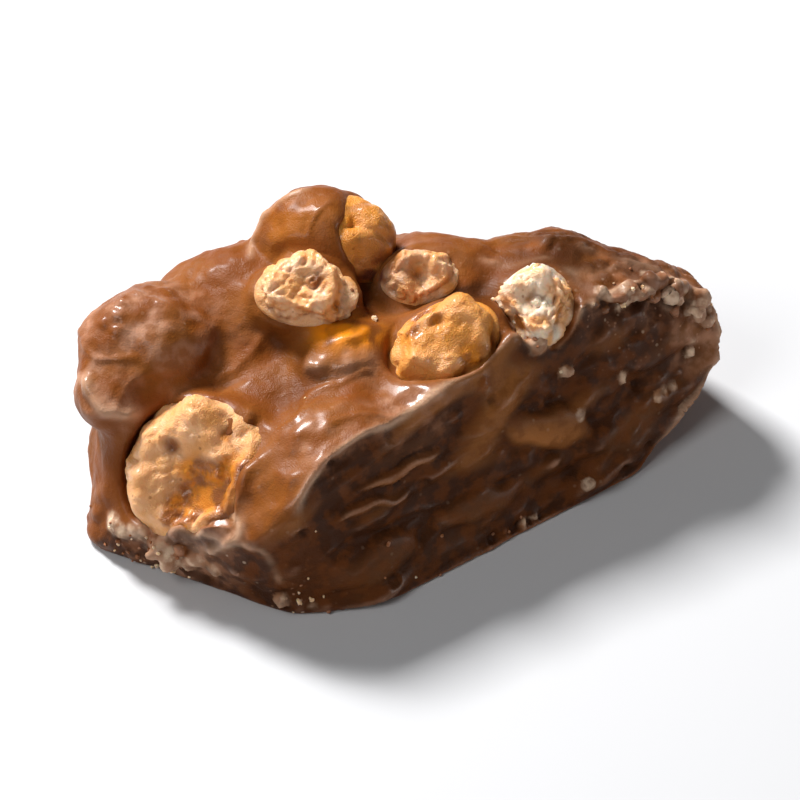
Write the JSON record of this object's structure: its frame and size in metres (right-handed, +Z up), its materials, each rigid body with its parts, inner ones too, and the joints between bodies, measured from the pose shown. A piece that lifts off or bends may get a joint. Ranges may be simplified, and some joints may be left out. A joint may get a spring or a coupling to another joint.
{
  "type": "chocolate peanut cluster",
  "caption": "Lumpy milk chocolate cluster of roasted peanuts: a bumpy glossy top with bare kernels, one flat darker side with a crisp rim, and a flat base.",
  "frame": {"origin": "middle of the cluster's box seen from above, on the flat base it rests on", "axes": "+X along the cluster towards its pointed right end, +Y to its back, +Z up; the flat darker side faces -Y and +X"},
  "size_m": [0.0521, 0.0342, 0.0205],
  "materials": {
    "milk_chocolate": "milk chocolate, satin to glossy on the lumps, matt and darker on the flat side",
    "roasted_peanut": "roasted peanut kernel, cream to golden brown, dry"
  },
  "bodies": {
    "root": {"chocolate": "milk_chocolate", "peanut_front": "roasted_peanut", "peanut_crown": "roasted_peanut", "peanut_broken": "roasted_peanut", "peanut_golden": "roasted_peanut", "peanut_chip": "roasted_peanut", "peanut_pale": "roasted_peanut"}
  },
  "joints": []
}
